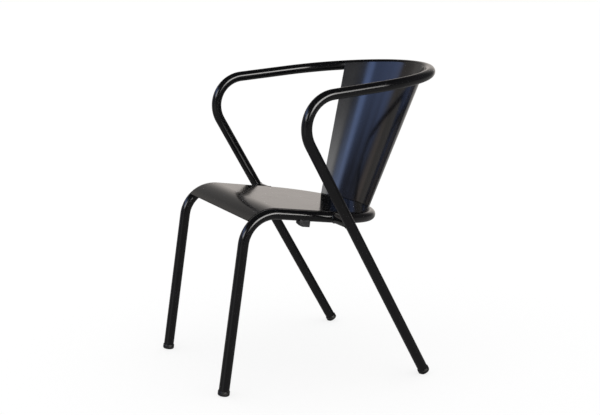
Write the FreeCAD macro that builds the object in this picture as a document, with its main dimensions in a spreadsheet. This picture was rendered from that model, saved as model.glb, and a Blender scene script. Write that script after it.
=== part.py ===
import FreeCAD, Part

import math
import os

import Sketcher

# Rigid tubular steel stacking armchair.
# Frame: +Z up, the front looks along -Y, +X is the sitter's left. The origin lies on the floor
# under the middle of the chair's outline. Lengths are millimetres and angles are degrees.

V = FreeCAD.Vector
X_AXIS = V(1, 0, 0)
Y_AXIS = V(0, 1, 0)
Z_AXIS = V(0, 0, 1)
LEFT = 1
RIGHT = -1
SIDE_NAMES = {LEFT: "left", RIGHT: "right"}
# Shares of a rail's straight part, and angles round the rear hoop, where the seat is stitched
RAIL_STITCHES = (0.15, 0.5, 0.85)
REAR_STITCHES = (-45, 0, 45)
# Rough circle that a bound sketch starts on
ROUGH_RADIUS = 10
ROUGH_CENTRE = 20
# A swept bar's volume stays within this share of the volume of a straight one
VOLUME_TOLERANCE = 0.002
# The outline takes at least this share off the seat band
LEAST_TRIM = 0.05
JOINED = 1e-6
SAME_PLACE = 1e-3

SIZES = [
    ("tube_diameter", 25, "outside of both bent tubes and of the links"),
    ("tube_wall", 1.5, "wall of the tubes"),
    ("bend_radius", 75, "centreline radius of the four front bends"),
    ("arm_hoop_radius", 257, "centreline radius of the rear hoop of the arm tube"),
    ("arm_hoop_rear", 302.5, "y of that hoop's rearmost centreline point"),
    ("arm_hoop_height", 729.5, "z of that hoop's rearmost centreline point"),
    ("arm_tilt", 5.85, "rise of the arm plane towards the rear"),
    ("arm_splay", 3.4, "outward turn of each arm towards the front"),
    ("arm_run", 245, "from the hoop's end to the corner of the arm bend"),
    ("rear_foot_x", 245.5, "half spacing of the rear feet"),
    ("rear_foot_y", 207.5, "y of the rear feet"),
    ("seat_hoop_radius", 187, "centreline radius of the rear hoop of the seat tube"),
    ("seat_hoop_rear", 154.5, "y of that hoop's rearmost centreline point"),
    ("seat_hoop_height", 371, "z of that hoop's rearmost centreline point"),
    ("seat_tilt", 7.8, "fall of the seat plane towards the rear"),
    ("seat_splay", 0.8, "outward turn of each seat rail towards the front"),
    ("seat_run", 215.5, "from the hoop's end to the corner of the seat bend"),
    ("front_foot_x", 190.5, "half spacing of the front feet"),
    ("front_foot_y", -301.5, "y of the front feet"),
    ("sheet_gauge", 1.5, "thickness of the seat sheet and of the back sheet"),
    ("seat_inset", 4, "from a tube's crest line in to the seat sheet's edge"),
    ("seat_wrap", 52, "how far the seat sheet follows the front bends"),
    ("seat_band_width", 450, "width of the rolled band that the seat sheet is cut from"),
    ("back_top_radius", 245.5, "outer radius of the back sheet's top edge about the arm hoop's axis"),
    ("back_top_above", 8, "top edge of the back sheet above the arm hoop's plane"),
    ("back_top_span", 100.2, "angle of the arm hoop that the back sheet's top edge covers"),
    ("back_foot_span", 85.6, "angle of the seat hoop that the back sheet's foot covers"),
    ("back_foot_radius", 181, "outer radius of the back sheet's foot"),
    ("link_y", -18, "y of the links between the seat rails and the rear legs"),
    ("link_z", 394.5, "z of the links"),
    ("link_blank", 73.5, "length of a link before its ends are coped"),
    ("link_weld", 2.5, "reach of the weld round each end of a link"),
    ("glide_radius", 14, "radius of a foot glide's head"),
    ("glide_head", 12, "height of a foot glide's head"),
    ("glide_round", 4, "rounding of the head's lower rim"),
    ("glide_start_front", 0, "from the floor up the leg's axis to a front glide's end"),
    ("glide_start_rear", 4.6, "from the floor up the leg's axis to a rear glide's end"),
    ("glide_stem", 26, "length of a glide's stem inside the tube"),
    ("glide_stem_radius", 9, "radius of the stem between its ribs"),
    ("glide_rib", 2.5, "thickness of a rib and half the pitch of the ribs"),
    ("glide_ribs", 4, "number of ribs on a glide's stem"),
    ("floor_cut_reach", 400, "half width of the block that cuts the glides level with the floor"),
    ("floor_cut_depth", 40, "depth of that block"),
    ("bumper_length", 28, "length of a stacking bumper along the rail"),
    ("bumper_width", 18, "width of a stacking bumper"),
    ("bumper_drop", 12.5, "how far a bumper hangs below the rail"),
    ("bumper_crown", 6.25, "from the rail's axis down to the top of the bumper's blank"),
    ("bumper_chamfer", 6, "height of the cut corner at the bumper's lower front edge"),
    ("bumper_ramp", 9, "length of that cut corner along the rail"),
    ("bumper_y", -99, "y of the bumpers' middle"),
    ("screw_radius", 2, "radius of a bumper screw's shank"),
    ("screw_head_radius", 4, "radius of a bumper screw's head"),
    ("screw_head_height", 2.5, "height of a bumper screw's head"),
    ("screw_reach", 6, "shank length above the rail's lower wall"),
    ("stitch_length", 32, "length of one weld stitch under the seat sheet"),
    ("stitch_width", 5, "width of a weld stitch"),
    ("stitch_depth", 4, "depth of a weld stitch below the seat sheet"),
    ("rim_weld_depth", 3, "depth of the weld bead along the back sheet's top edge"),
    ("foot_weld_size", 2, "width and height of the weld along the back sheet's foot"),
]

doc = FreeCAD.newDocument("armchair")
sheet = doc.addObject("Spreadsheet::Sheet", "Sizes")


def fill_sheet():
    """Write every driving size into the sheet with its alias and meaning."""
    for row, (alias, number, meaning) in enumerate(SIZES, start=1):
        sheet.set(f"A{row}", alias)
        sheet.set(f"B{row}", str(number))
        sheet.set(f"C{row}", meaning)
        sheet.setAlias(f"B{row}", alias)
    doc.recompute()


def size(alias):
    """Read one driving size from the sheet."""
    return float(sheet.get(alias))


def feature(label, shape):
    """Keep a shape made from the sheet's sizes as an object of its own."""
    piece = doc.addObject("Part::Feature", label)
    piece.Label = label
    piece.Shape = shape
    piece.Placement = FreeCAD.Placement(V(0, 0, 0), FreeCAD.Rotation())
    return piece


def boolean(kind, label, base, tool):
    """Combine two document objects as a Part::Cut or Part::Common."""
    piece = doc.addObject(kind, label)
    piece.Label = label
    piece.Base = base
    piece.Tool = tool
    return piece


def origin_plane(body, role):
    """Find one of a body's own origin planes by its role."""
    for plane in body.Origin.OriginFeatures:
        if plane.Role == role:
            return plane
    raise ValueError(role)


def new_body(label):
    """Start a PartDesign body with its own label."""
    body = doc.addObject("PartDesign::Body", label)
    body.Label = label
    return body


def new_sketch(body, name, role):
    """Start a sketch on one of the body's origin planes."""
    sketch = body.newObject("Sketcher::SketchObject", name)
    sketch.AttachmentSupport = [(origin_plane(body, role), "")]
    sketch.MapMode = "FlatFace"
    return sketch


def chain(sketch, edges):
    """Add edges to a sketch and join each to the next in a closed chain."""
    first = sketch.GeometryCount
    for edge in edges:
        sketch.addGeometry(edge, False)
    last = sketch.GeometryCount - 1
    for index in range(first, last + 1):
        following = first if index == last else index + 1
        join_ends(sketch, index, following)
    return first


def join_ends(sketch, one, other):
    """Make the touching ends of two sketch edges coincident."""
    for end in (1, 2):
        for start in (1, 2):
            gap = sketch.getPoint(one, end) - sketch.getPoint(other, start)
            if gap.Length < JOINED:
                sketch.addConstraint(Sketcher.Constraint("Coincident", one, end, other, start))
                return
    raise ValueError("sketch edges do not meet")


def bound_polygon(sketch, corners):
    """Draw a closed polygon whose corner coordinates are expressions on the sheet.

    Each corner is a pair of expressions. A rough start on a circle is enough, because every
    corner is then held by its two distances from the sketch's origin.
    """
    count = len(corners)
    rough = []
    for place in range(count):
        turn = 2 * math.pi * place / count
        rough.append(V(ROUGH_CENTRE, ROUGH_CENTRE, 0) + V(math.cos(turn), math.sin(turn), 0) * ROUGH_RADIUS)
    first = chain(sketch, closed_line(rough))
    for place, (across, up) in enumerate(corners):
        start = rough[place]
        for kind, expression, rough_size in (("DistanceX", across, start.x), ("DistanceY", up, start.y)):
            held = Sketcher.Constraint(kind, -1, 1, first + place, 1, rough_size)
            index = sketch.addConstraint(held)
            sketch.setExpression(f"Constraints[{index}]", expression)


def closed_line(corners):
    """Straight edges from each corner to the next and back to the first."""
    following = corners[1:] + corners[:1]
    return [Part.LineSegment(start, end) for start, end in zip(corners, following)]


# Geometry of the two bent tubes

def hoop_frame(name):
    """Placement of a hoop's plane: origin at its centre, Y to the rear, Z square to the plane."""
    radius = size(f"{name}_hoop_radius")
    tilt = hoop_tilt(name)
    rear = V(0, size(f"{name}_hoop_rear"), size(f"{name}_hoop_height"))
    turn = FreeCAD.Rotation(X_AXIS, tilt)
    return FreeCAD.Placement(rear - turn.multVec(Y_AXIS) * radius, turn)


def hoop_tilt(name):
    """Signed tilt of a hoop's plane: the arms rise to the rear and the seat falls."""
    return size("arm_tilt") if name == "arm" else -size("seat_tilt")


def tube_corner(name, side):
    """Corner where the arm or rail line meets the leg line on one side."""
    splay = math.radians(size(f"{name}_splay"))
    radius = size(f"{name}_hoop_radius")
    run = size(f"{name}_run")
    across = radius * math.cos(splay) + run * math.sin(splay)
    along = radius * math.sin(splay) - run * math.cos(splay)
    return hoop_frame(name).multVec(V(side * across, along, 0))


def foot_point(name, side):
    """Point where a leg's axis meets the floor."""
    if name == "arm":
        return V(side * size("rear_foot_x"), size("rear_foot_y"), 0)
    return V(side * size("front_foot_x"), size("front_foot_y"), 0)


def leg_direction(name, side):
    """Unit vector up a leg's axis."""
    direction = tube_corner(name, side) - foot_point(name, side)
    return direction.normalize()


def glide_start(name):
    """Distance up a leg's axis from the floor to the end face of its glide."""
    return size("glide_start_rear") if name == "arm" else size("glide_start_front")


def bend(before, corner, after, radius):
    """Tangent arc that rounds a corner, with its two end points."""
    to_before = (before - corner).normalize()
    to_after = (after - corner).normalize()
    half = to_before.getAngle(to_after) / 2
    reach = radius / math.tan(half)
    bisector = (to_before + to_after).normalize()
    middle = corner + bisector * (radius / math.sin(half) - radius)
    start = corner + to_before * reach
    end = corner + to_after * reach
    return start, Part.Arc(start, middle, end).toShape(), end


def tube_path(name):
    """Centreline of a bent tube from its left foot round the hoop to its right foot."""
    frame = hoop_frame(name)
    radius = size(f"{name}_hoop_radius")
    splay = math.radians(size(f"{name}_splay"))
    ends = {side: frame.multVec(V(side * radius * math.cos(splay), radius * math.sin(splay), 0))
            for side in (LEFT, RIGHT)}
    rear = frame.multVec(V(0, radius, 0))
    halves = {}
    for side in (LEFT, RIGHT):
        tip = foot_point(name, side) + leg_direction(name, side) * (glide_start(name) + size("glide_head"))
        leg_end, arc, run_end = bend(tip, tube_corner(name, side), ends[side], size("bend_radius"))
        halves[side] = [
            Part.LineSegment(tip, leg_end).toShape(),
            arc,
            Part.LineSegment(run_end, ends[side]).toShape(),
        ]
    hoop = Part.Arc(ends[LEFT], rear, ends[RIGHT]).toShape()
    return Part.Wire(halves[LEFT] + [hoop] + halves[RIGHT][::-1])


def round_bar(name, radius):
    """Solid of circular section along a bent tube's centreline."""
    path = tube_path(name)
    tip = foot_point(name, LEFT) + leg_direction(name, LEFT) * (glide_start(name) + size("glide_head"))
    section = Part.Wire(Part.makeCircle(radius, tip, leg_direction(name, LEFT)))
    bar = path.makePipeShell([section], True, False)
    expected = math.pi * radius ** 2 * path.Length
    if abs(bar.Volume - expected) > VOLUME_TOLERANCE * expected:
        raise ValueError(f"{name} tube: volume {bar.Volume:.0f}, expected {expected:.0f}")
    return bar


def make_bars():
    """Outer forms of both tubes, used to shape whatever fits against them."""
    outer = size("tube_diameter") / 2
    return {name: feature(f"{name}_tube_form", round_bar(name, outer)) for name in ("arm", "seat")}


def make_arm_tube(bars):
    """Rear hoop, arms and rear legs bent from one tube."""
    bore = feature("arm_tube_bore", round_bar("arm", size("tube_diameter") / 2 - size("tube_wall")))
    return boolean("Part::Cut", "arm_and_rear_leg_tube", bars["arm"], bore)


def make_seat_tube(bars, screw_holes):
    """Seat hoop, seat rails and front legs bent from one tube, drilled for the bumper screws."""
    bore = feature("seat_tube_bore", round_bar("seat", size("tube_diameter") / 2 - size("tube_wall")))
    hollow = boolean("Part::Cut", "seat_tube_undrilled", bars["seat"], bore)
    return boolean("Part::Cut", "seat_frame_and_front_leg_tube", hollow, screw_holes)


# Seat sheet

def contact_height():
    """Height above a tube's centreline where the seat sheet's inset edge touches the tube."""
    return math.sqrt((size("tube_diameter") / 2) ** 2 - size("seat_inset") ** 2)


def rail_bend_start():
    """Distance forward from the seat hoop's centre to the start of the front bend."""
    frame = hoop_frame("seat").inverse()
    _, _, run_end = bend(foot_point("seat", LEFT), tube_corner("seat", LEFT),
                         hoop_frame("seat").multVec(V(size("seat_hoop_radius"), 0, 0)), size("bend_radius"))
    return -frame.multVec(run_end).y


def seat_profile_edges():
    """Side outline of the seat sheet in its hoop's plane: flat, then rolled over the bends."""
    under = contact_height()
    top = under + size("sheet_gauge")
    turn = size("bend_radius")
    rear = size("seat_hoop_radius")
    start = -rail_bend_start()
    centre = V(start, 0, 0) - V(0, turn, 0)
    wrap = math.radians(size("seat_wrap"))

    def on_arc(height, angle):
        """Point on the rolled part at a height above the centreline."""
        reach = turn + height
        return centre + V(-reach * math.sin(angle), reach * math.cos(angle), 0)

    def arc(height):
        """Rolled part at a height above the centreline."""
        return Part.Arc(on_arc(height, 0), on_arc(height, wrap / 2), on_arc(height, wrap))

    return [
        Part.LineSegment(V(rear, top, 0), V(start, top, 0)),
        arc(top),
        Part.LineSegment(on_arc(top, wrap), on_arc(under, wrap)),
        arc(under),
        Part.LineSegment(V(start, under, 0), V(rear, under, 0)),
        Part.LineSegment(V(rear, under, 0), V(rear, top, 0)),
    ]


def seat_outline_edges():
    """Plan outline of the seat sheet: a half hoop at the rear and straight splayed sides."""
    splay = math.radians(size("seat_splay"))
    radius = size("seat_hoop_radius") - size("seat_inset")
    reach = rail_bend_start() + 2 * size("bend_radius")
    corner = {side: V(side * radius * math.cos(splay), radius * math.sin(splay), 0) for side in (LEFT, RIGHT)}
    front = {side: corner[side] + V(side * math.sin(splay), -math.cos(splay), 0) * reach
             for side in (LEFT, RIGHT)}
    return [
        Part.Arc(corner[RIGHT], V(0, radius, 0), corner[LEFT]),
        Part.LineSegment(corner[LEFT], front[LEFT]),
        Part.LineSegment(front[LEFT], front[RIGHT]),
        Part.LineSegment(front[RIGHT], corner[RIGHT]),
    ]


def make_seat_sheet():
    """Seat sheet: a rolled band as wide as the frame, trimmed to the outline in plan."""
    body = new_body("seat_sheet")
    profile = new_sketch(body, "seat_profile", "YZ_Plane")
    chain(profile, seat_profile_edges())
    pad = body.newObject("PartDesign::Pad", "seat_band")
    pad.Profile = profile
    pad.SideType = "Symmetric"
    pad.setExpression("Length", "Sizes.seat_band_width")
    doc.recompute()
    untrimmed = pad.Shape.Volume
    outline = new_sketch(body, "seat_outline", "XY_Plane")
    chain(outline, seat_outline_edges())
    margin = 2 * size("seat_hoop_radius")
    signs = ((-1, -1), (1, -1), (1, 1), (-1, 1))
    chain(outline, closed_line([V(margin * across, margin * along, 0) for across, along in signs]))
    trim = body.newObject("PartDesign::Pocket", "seat_trim")
    trim.Profile = outline
    trim.SideType = "Symmetric"
    trim.Type = "ThroughAll"
    doc.recompute()
    if trim.Shape.Volume > (1 - LEAST_TRIM) * untrimmed:
        raise ValueError("the seat outline trimmed nothing")
    body.Placement = hoop_frame("seat")
    return body


# Back sheet

def hoop_point(name, radius, angle, height):
    """Point near a hoop: angle from its rear centre, height square to its plane."""
    turn = math.radians(angle)
    return hoop_frame(name).multVec(V(radius * math.sin(turn), radius * math.cos(turn), height))


def arc_band(name, outer, gauge, span, height):
    """Closed wire of a thin arc band centred on a hoop's rear."""
    inner = outer - gauge
    half = span / 2
    outer_arc = Part.Arc(*[hoop_point(name, outer, angle, height) for angle in (-half, 0, half)])
    inner_arc = Part.Arc(*[hoop_point(name, inner, angle, height) for angle in (half, 0, -half)])
    ends = [Part.LineSegment(hoop_point(name, outer, half, height), hoop_point(name, inner, half, height)),
            Part.LineSegment(hoop_point(name, inner, -half, height), hoop_point(name, outer, -half, height))]
    return Part.Wire([outer_arc.toShape(), ends[0].toShape(), inner_arc.toShape(), ends[1].toShape()])


def seat_top():
    """Height of the seat sheet's upper face above the seat hoop's plane."""
    return contact_height() + size("sheet_gauge")


def make_back_sheet():
    """Back sheet: a cone from its top edge inside the arm hoop down to the seat hoop."""
    gauge = size("sheet_gauge")
    bands = [
        arc_band("arm", size("back_top_radius"), gauge, size("back_top_span"), size("back_top_above")),
        arc_band("seat", size("back_foot_radius"), gauge, size("back_foot_span"), seat_top()),
    ]
    return feature("backrest_sheet", Part.makeLoft(bands, True, True))


# Links between the seat rails and the rear legs

def make_links(bars):
    """Short tube on each side, coped to the seat rail and to the rear leg."""
    links = {}
    for side in (LEFT, RIGHT):
        name = SIDE_NAMES[side]
        outer = link_cylinder(f"link_{name}_outer", side, "Sizes.tube_diameter / 2")
        inner = link_cylinder(f"link_{name}_inner", side, "Sizes.tube_diameter / 2 - Sizes.tube_wall")
        pipe = boolean("Part::Cut", f"link_{name}_pipe", outer, inner)
        at_rail = boolean("Part::Cut", f"link_{name}_coped", pipe, bars["seat"])
        links[side] = boolean("Part::Cut", f"link_tube_{name}", at_rail, bars["arm"])
    return links


def link_cylinder(label, side, radius):
    """Cylinder along X from the seat rail's centre to the far side of the rear leg's centre."""
    cylinder = doc.addObject("Part::Cylinder", label)
    cylinder.Label = label
    cylinder.setExpression("Radius", radius)
    cylinder.setExpression("Height", "Sizes.link_blank")
    start = V(side * size("seat_hoop_radius"), size("link_y"), size("link_z"))
    cylinder.Placement = FreeCAD.Placement(start, FreeCAD.Rotation(Z_AXIS, X_AXIS * side))
    return cylinder


def make_link_welds(bars, wide_bars):
    """Weld bead where a link meets each tube: all within the weld's reach of both of them."""
    welds = []
    for side in (LEFT, RIGHT):
        name = SIDE_NAMES[side]
        solid = link_cylinder(f"link_{name}_solid", side, "Sizes.tube_diameter / 2")
        wide = link_cylinder(f"link_{name}_wide", side, "Sizes.tube_diameter / 2 + Sizes.link_weld")
        for tube, place in (("seat", "rail"), ("arm", "leg")):
            near = boolean("Part::Common", f"link_{name}_{place}_zone", wide, wide_bars[tube])
            ring = boolean("Part::Cut", f"link_{name}_{place}_ring", near, solid)
            off_rail = boolean("Part::Cut", f"link_{name}_{place}_off_rail", ring, bars["seat"])
            welds.append(boolean("Part::Cut", f"link_weld_{name}_{place}", off_rail, bars["arm"]))
    return welds


# Welds of the two sheets

def ring_segment(name, inner, outer, low, high, middle, span):
    """Solid arc segment about a hoop's axis, given by radii, heights and angles."""
    half = span / 2
    corners = [(inner, low), (outer, low), (outer, high), (inner, high)]
    points = [hoop_point(name, radius, middle - half, height) for radius, height in corners]
    face = Part.Face(Part.makePolygon(points + points[:1]))
    frame = hoop_frame(name)
    axis = frame.Rotation.multVec(Z_AXIS)
    return face.revolve(frame.Base, axis, -span)


def make_seat_welds(bars):
    """Weld stitches in the groove between the seat sheet's underside and the tube."""
    welds = []
    high = contact_height()
    low = high - size("stitch_depth")
    inset = size("seat_inset")
    splay = size("seat_splay")
    frame = hoop_frame("seat")
    for side in (LEFT, RIGHT):
        stitches = []
        for share in RAIL_STITCHES:
            along = -share * rail_bend_start()
            block = Part.makeBox(size("stitch_width"), size("stitch_length"), high - low)
            across = size("seat_hoop_radius") - inset - size("stitch_width")
            block.translate(V(across, along - size("stitch_length") / 2, low))
            block.rotate(V(size("seat_hoop_radius"), 0, 0), Z_AXIS, splay)
            if side == RIGHT:
                block = block.mirror(V(0, 0, 0), X_AXIS)
            block.Placement = frame.multiply(block.Placement)
            stitches.append(block)
        blocks = feature(f"seat_stitch_blocks_{SIDE_NAMES[side]}", Part.makeCompound(stitches))
        welds.append(boolean("Part::Cut", f"seat_weld_{SIDE_NAMES[side]}", blocks, bars["seat"]))
    outer = size("seat_hoop_radius") - inset
    span = math.degrees(size("stitch_length") / outer)
    rear = [ring_segment("seat", outer - size("stitch_width"), outer, low, high, middle, span)
            for middle in REAR_STITCHES]
    blocks = feature("seat_stitch_blocks_rear", Part.makeCompound(rear))
    welds.append(boolean("Part::Cut", "seat_weld_rear", blocks, bars["seat"]))
    return welds


def make_back_welds(bars, back_sheet):
    """Bead between the back sheet's top edge and the arm tube, and bead along its foot."""
    rim = size("back_top_radius")
    crest = size("back_top_above")
    top = ring_segment("arm", rim - size("sheet_gauge"), rim + size("rim_weld_depth"),
                       crest - size("rim_weld_depth"), crest, 0, size("back_top_span"))
    top_blank = feature("backrest_rim_weld_blank", top)
    off_tube = boolean("Part::Cut", "backrest_rim_weld_off_tube", top_blank, bars["arm"])
    rim_weld = boolean("Part::Cut", "backrest_rim_weld", off_tube, back_sheet)
    foot = size("back_foot_radius")
    low = ring_segment("seat", foot - size("sheet_gauge") / 2, foot + size("foot_weld_size"), seat_top(),
                       seat_top() + size("foot_weld_size"), 0, size("back_foot_span"))
    foot_blank = feature("backrest_foot_weld_blank", low)
    foot_weld = boolean("Part::Cut", "backrest_foot_weld", foot_blank, back_sheet)
    return [rim_weld, foot_weld]


# Foot glides

def make_glides():
    """Glide at each foot: a head under the tube's end and a ribbed stem inside its bore."""
    floor = doc.addObject("Part::Box", "below_floor")
    floor.setExpression("Length", "2 * Sizes.floor_cut_reach")
    floor.setExpression("Width", "2 * Sizes.floor_cut_reach")
    floor.setExpression("Height", "Sizes.floor_cut_depth")
    reach = size("floor_cut_reach")
    floor.Placement.Base = V(-reach, -reach, -size("floor_cut_depth"))
    glides = []
    for name, place in (("seat", "front"), ("arm", "rear")):
        for side in (LEFT, RIGHT):
            label = f"{place}_{SIDE_NAMES[side]}_foot_glide"
            body = make_glide_body(f"{label}_body")
            base = foot_point(name, side) + leg_direction(name, side) * glide_start(name)
            body.Placement = FreeCAD.Placement(base, FreeCAD.Rotation(Z_AXIS, leg_direction(name, side)))
            glides.append(boolean("Part::Cut", label, body, floor))
    return glides


def make_glide_body(label):
    """Turned glide about its own Z axis, with its end face at the origin."""
    body = new_body(label)
    sketch = new_sketch(body, f"{label}_half", "XZ_Plane")
    bore = "(Sizes.tube_diameter / 2 - Sizes.tube_wall)"
    head = "Sizes.glide_head"
    corners = [("0", "0"), ("Sizes.glide_radius", "0"), ("Sizes.glide_radius", head)]
    corners.append(("Sizes.glide_stem_radius", head))
    for rib in range(int(size("glide_ribs"))):
        gaps = 2 * rib + 1
        foot = f"{head} + {gaps} * Sizes.glide_rib"
        crown = f"{head} + {gaps + 1} * Sizes.glide_rib"
        corners.append(("Sizes.glide_stem_radius", foot))
        corners.append((bore, foot))
        corners.append((bore, crown))
        corners.append(("Sizes.glide_stem_radius", crown))
    corners.append(("Sizes.glide_stem_radius", f"{head} + Sizes.glide_stem"))
    corners.append(("0", f"{head} + Sizes.glide_stem"))
    bound_polygon(sketch, corners)
    turned = body.newObject("PartDesign::Revolution", f"{label}_turned")
    turned.Profile = sketch
    turned.ReferenceAxis = (sketch, ["V_Axis"])
    turned.Angle = 360
    doc.recompute()
    rim = [f"Edge{index}" for index, edge in enumerate(turned.Shape.Edges, start=1)
           if is_circle_at(edge, size("glide_radius"), 0)]
    rounding = body.newObject("PartDesign::Fillet", f"{label}_rounding")
    rounding.Base = (turned, rim)
    rounding.setExpression("Radius", "Sizes.glide_round")
    return body


def is_circle_at(edge, radius, height):
    """Whether an edge is a level circle of a radius at a height."""
    if not isinstance(edge.Curve, Part.Circle):
        return False
    return abs(edge.Curve.Radius - radius) < SAME_PLACE and abs(edge.Curve.Center.z - height) < SAME_PLACE


# Stacking bumpers and their screws

def rail_frame(side):
    """Placement at the bumper: origin on the rail's axis, Y along the rail to the rear."""
    frame = hoop_frame("seat")
    corner = tube_corner("seat", side)
    splay = math.radians(size("seat_splay"))
    radius = size("seat_hoop_radius")
    end = frame.multVec(V(side * radius * math.cos(splay), radius * math.sin(splay), 0))
    along = (end - corner).normalize()
    place = corner + along * ((size("bumper_y") - corner.y) / along.y)
    upward = frame.Rotation.multVec(Z_AXIS)
    across = along.cross(upward)
    return FreeCAD.Placement(place, FreeCAD.Rotation(across, along, upward, "YZX"))


def make_bumpers(bars, screws):
    """Block under each seat rail, shaped to the tube and counterbored for its screw."""
    bumpers = []
    for side in (LEFT, RIGHT):
        label = f"stacking_bumper_{SIDE_NAMES[side]}"
        body = new_body(f"{label}_block")
        sketch = new_sketch(body, f"{label}_side", "YZ_Plane")
        half = "Sizes.bumper_length / 2"
        base = "-(Sizes.tube_diameter / 2 + Sizes.bumper_drop)"
        crown = "-Sizes.bumper_crown"
        bound_polygon(sketch, [
            (half, crown),
            (f"-{half}", crown),
            (f"-{half}", f"{base} + Sizes.bumper_chamfer"),
            (f"-{half} + Sizes.bumper_ramp", base),
            (half, base),
        ])
        pad = body.newObject("PartDesign::Pad", f"{label}_pad")
        pad.Profile = sketch
        pad.SideType = "Symmetric"
        pad.setExpression("Length", "Sizes.bumper_width")
        body.Placement = rail_frame(side)
        fitted = boolean("Part::Cut", f"{label}_fitted", body, bars["seat"])
        bumpers.append(boolean("Part::Cut", label, fitted, screws))
    return bumpers


def make_screws():
    """One pan head screw up through each bumper into the rail's lower wall."""
    screws = []
    head_top = -(size("tube_diameter") / 2 + size("bumper_drop")) + size("screw_head_height")
    tip = -size("tube_diameter") / 2 + size("tube_wall") + size("screw_reach")
    for side in (LEFT, RIGHT):
        head = Part.makeCylinder(size("screw_head_radius"), size("screw_head_height"),
                                 V(0, 0, head_top - size("screw_head_height")), Z_AXIS)
        shank = Part.makeCylinder(size("screw_radius"), tip - head_top, V(0, 0, head_top), Z_AXIS)
        screw = head.fuse(shank).removeSplitter()
        screw.Placement = rail_frame(side)
        screws.append(screw)
    return feature("bumper_screws", Part.makeCompound(screws))


def check_and_export(pieces):
    """Stop at the first failed object or shape, then write every piece to its own file."""
    doc.recompute()
    for item in doc.Objects:
        if "Invalid" in item.State or "Error" in item.State:
            raise ValueError(f"{item.Label} failed: {item.State}")
    for piece in pieces:
        if piece.Shape.isNull() or not piece.Shape.isValid() or not piece.Shape.Solids:
            raise ValueError(f"{piece.Label} has no valid solid")
    os.makedirs("parts", exist_ok=True)
    for piece in pieces:
        piece.Shape.exportStep(os.path.join("parts", f"{piece.Label}.step"))
        box = piece.Shape.BoundBox
        print(f"{piece.Label}: {len(piece.Shape.Solids)} solids, {piece.Shape.Volume / 1000:.1f} cm3, "
              f"z {box.ZMin:.1f} to {box.ZMax:.1f}")


def main():
    """Build the chair and write its pieces."""
    fill_sheet()
    bars = make_bars()
    weld_reach = size("tube_diameter") / 2 + size("link_weld")
    wide_bars = {name: feature(f"{name}_tube_weld_form", round_bar(name, weld_reach))
                 for name in ("arm", "seat")}
    screws = make_screws()
    back_sheet = make_back_sheet()
    links = make_links(bars)
    pieces = [make_arm_tube(bars), make_seat_tube(bars, screws), make_seat_sheet(), back_sheet, screws]
    pieces += list(links.values())
    pieces += make_link_welds(bars, wide_bars)
    pieces += make_seat_welds(bars)
    pieces += make_back_welds(bars, back_sheet)
    pieces += make_glides()
    pieces += make_bumpers(bars, screws)
    check_and_export(pieces)


main()
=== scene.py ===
"""Tubular steel stacking armchair: two bent tubes, a seat sheet and a back sheet, coated black."""

import logging
import math
from collections.abc import Mapping, Sequence
from dataclasses import dataclass
from enum import Enum

import bmesh
import bpy
from mathutils import Matrix, Vector


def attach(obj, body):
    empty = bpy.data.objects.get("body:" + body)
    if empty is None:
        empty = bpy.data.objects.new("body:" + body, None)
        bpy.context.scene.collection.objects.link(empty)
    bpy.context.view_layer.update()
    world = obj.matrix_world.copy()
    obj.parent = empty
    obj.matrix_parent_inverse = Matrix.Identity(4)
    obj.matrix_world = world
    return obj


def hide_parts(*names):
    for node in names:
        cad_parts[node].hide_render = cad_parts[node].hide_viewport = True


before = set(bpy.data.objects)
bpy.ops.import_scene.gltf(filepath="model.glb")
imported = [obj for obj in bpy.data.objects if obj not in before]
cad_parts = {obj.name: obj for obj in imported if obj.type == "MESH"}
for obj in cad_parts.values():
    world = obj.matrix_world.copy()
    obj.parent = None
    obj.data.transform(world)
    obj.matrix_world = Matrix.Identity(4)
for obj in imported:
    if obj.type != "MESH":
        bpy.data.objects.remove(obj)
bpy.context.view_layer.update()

LOG = logging.getLogger("armchair")
MM = 0.001
BODY = "root"
WHITE = "#FFFFFF"
EDGE_SEGMENTS = 3
RINGS_PER_RIPPLE = 4
RIPPLE_UNEVENNESS = 0.07
BEAD_SIDES = 12

Path = list[tuple[Vector, float]]
Sockets = Mapping[str, bpy.types.NodeSocket]


class Side(Enum):
    """The two sides of the chair, as the sign of their X."""

    LEFT = 1
    RIGHT = -1

    @property
    def word(self) -> str:
        """The side's name as the CAD nodes write it."""
        return self.name.lower()


class Coat(Enum):
    """The record's material slots, one for each kind of piece."""

    TUBE = "tube_coating"
    SEAT = "seat_coating"
    BACK = "back_coating"
    GLIDE = "glide_plastic"
    BUMPER = "bumper_rubber"
    SCREW = "screw_steel"


# Helpers


def linear(colour: str) -> tuple[float, float, float, float]:
    """Turn an sRGB hex colour into the linear colour that Blender works in.

    Args:
        colour: The colour as "#RRGGBB".

    Returns:
        Red, green, blue and an alpha of one.
    """
    parts = [int(colour[place:place + 2], 16) / 255 for place in (1, 3, 5)]
    red, green, blue = (
        part / 12.92 if part <= 0.04045 else ((part + 0.055) / 1.055) ** 2.4 for part in parts)
    return red, green, blue, 1.0


def add_node(
    tree: bpy.types.NodeTree,
    kind: str,
    settings: Mapping[str, object] | None = None,
    links: Mapping[str | int, object] | None = None,
) -> bpy.types.Node:
    """Add a node with its settings and what goes into its sockets.

    Args:
        tree: The tree that gets the node.
        kind: The node's type.
        settings: Properties of the node.
        links: For each input, by name or place, an output socket to link or a value to set.

    Returns:
        The new node.
    """
    node = tree.nodes.new(kind)
    for name, value in (settings or {}).items():
        setattr(node, name, value)
    for place, value in (links or {}).items():
        if isinstance(value, bpy.types.NodeSocket):
            tree.links.new(value, node.inputs[place])
        else:
            node.inputs[place].default_value = value
    return node


def link_object(name: str, mesh: bpy.types.Mesh) -> bpy.types.Object:
    """Put a mesh into the scene as an object at the origin.

    Args:
        name: The object's name.
        mesh: Its mesh, with its place in it.

    Returns:
        The new object.
    """
    piece = bpy.data.objects.new(name, mesh)
    bpy.context.scene.collection.objects.link(piece)
    return piece


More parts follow.
